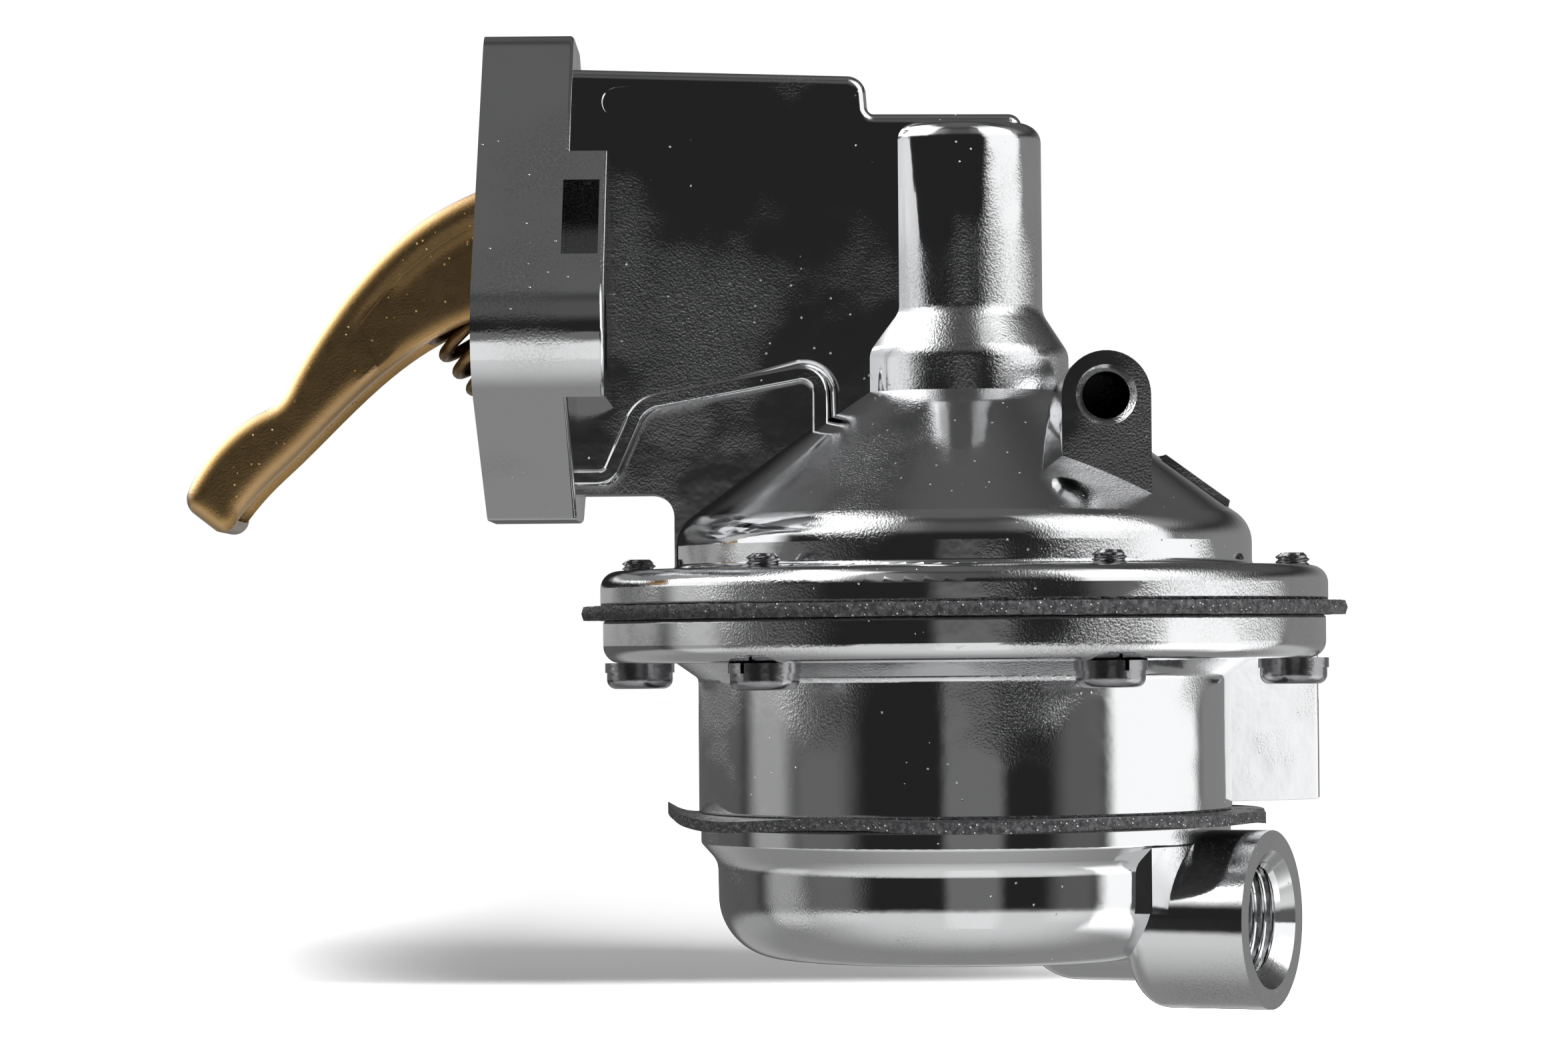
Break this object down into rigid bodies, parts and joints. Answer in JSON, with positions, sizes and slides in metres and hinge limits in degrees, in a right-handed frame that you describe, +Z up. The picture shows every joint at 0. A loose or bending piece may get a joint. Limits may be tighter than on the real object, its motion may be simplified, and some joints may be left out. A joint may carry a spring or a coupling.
{
  "type": "mechanical fuel pump",
  "caption": "Engine driven diaphragm fuel pump: chrome plated castings, bronze rocker arm with return spring, bolt-on flange and threaded fuel ports.",
  "frame": {"origin": "On the mounting face, halfway between the two mounting bolt holes.", "axes": "+X points away from the engine, along the lever housing towards the pump chamber. -X is the way the rocker arm reaches into the engine. +Z is up, along the pull rod. +Y runs along the line of the two bolt holes, away from the side that the picture shows."},
  "size_m": [0.1599, 0.106, 0.1337],
  "materials": {
    "chrome_plate": "chrome plated casting, glossy with a fine cast grain",
    "arm_bronze": "satin bronze coloured plating on pressed steel",
    "bronze_wire": "dark bronze coloured spring wire",
    "lever_steel": "plain machined steel",
    "pin_steel": "ground steel",
    "spring_wire": "oiled spring wire",
    "screw_steel": "blackened steel, glossy",
    "sheet_rubber": "fabric reinforced rubber, matt",
    "seal_rubber": "matt rubber",
    "valve_brass": "plain brass"
  },
  "bodies": {
    "pump_body": {"upper_body": "chrome_plate", "valve_body": "chrome_plate", "lower_cap": "chrome_plate", "pivot_pin": "pin_steel", "pivot_plug": "pin_steel", "arm_return_spring": "bronze_wire", "diaphragm": "sheet_rubber", "diaphragm_spring": "spring_wire", "rod_seal": "seal_rubber", "seal_retainer": "lever_steel", "cap_gasket": "sheet_rubber", "bolt_seal": "seal_rubber", "cap_bolt": "screw_steel", "clamp_screws": "screw_steel", "spring_washers": "screw_steel", "inlet_valve_left_cage": "valve_brass", "inlet_valve_left_spring": "valve_brass", "inlet_valve_right_cage": "valve_brass", "inlet_valve_right_spring": "valve_brass", "outlet_valve_left_cage": "valve_brass", "outlet_valve_left_spring": "valve_brass", "outlet_valve_right_cage": "valve_brass", "outlet_valve_right_spring": "valve_brass"},
    "rocker": {"rocker_arm": "arm_bronze"},
    "link": {"link_lever": "lever_steel"},
    "rod": {"pull_rod": "lever_steel", "spring_cup": "lever_steel", "upper_plate": "lever_steel", "lower_plate": "lever_steel", "rod_nut": "lever_steel"},
    "inlet_valve_left_disc_body": {"inlet_valve_left_disc": "seal_rubber"},
    "inlet_valve_right_disc_body": {"inlet_valve_right_disc": "seal_rubber"},
    "outlet_valve_left_disc_body": {"outlet_valve_left_disc": "seal_rubber"},
    "outlet_valve_right_disc_body": {"outlet_valve_right_disc": "seal_rubber"}
  },
  "joints": [
    {"name": "rocker_hinge", "type": "hinge", "parent": "pump_body", "child": "rocker", "pos_m": [0.013, 0, 0.0155], "axis": [0, -1, 0], "range_deg": [0, 6], "deforming": ["arm_return_spring"]},
    {"name": "link_hinge", "type": "hinge", "parent": "pump_body", "child": "link", "pos_m": [0.013, 0, 0.0155], "axis": [0, -1, 0], "range_deg": [0, 6]},
    {"name": "rod_slide", "type": "slide", "parent": "pump_body", "child": "rod", "axis": [0, 0, 1], "range_m": [0, 0.00548], "deforming": ["diaphragm_spring", "diaphragm"]},
    {"name": "inlet_valve_left_lift", "type": "slide", "parent": "pump_body", "child": "inlet_valve_left_disc_body", "axis": [0, 0, 1], "range_m": [0, 0.0015], "stiffness_N_per_m": 60, "springref_m": -0.0005, "deforming": ["inlet_valve_left_spring"]},
    {"name": "inlet_valve_right_lift", "type": "slide", "parent": "pump_body", "child": "inlet_valve_right_disc_body", "axis": [0, 0, 1], "range_m": [0, 0.0015], "stiffness_N_per_m": 60, "springref_m": -0.0005, "deforming": ["inlet_valve_right_spring"]},
    {"name": "outlet_valve_left_lift", "type": "slide", "parent": "pump_body", "child": "outlet_valve_left_disc_body", "axis": [0, 0, -1], "range_m": [0, 0.0015], "stiffness_N_per_m": 60, "springref_m": -0.0005, "deforming": ["outlet_valve_left_spring"]},
    {"name": "outlet_valve_right_lift", "type": "slide", "parent": "pump_body", "child": "outlet_valve_right_disc_body", "axis": [0, 0, -1], "range_m": [0, 0.0015], "stiffness_N_per_m": 60, "springref_m": -0.0005, "deforming": ["outlet_valve_right_spring"]}
  ],
  "couplings": [
    {"joint": "link_hinge", "follows": "rocker_hinge", "ratio": 1},
    {"joint": "rod_slide", "follows": "rocker_hinge", "m_per_rad": 0.0523}
  ]
}
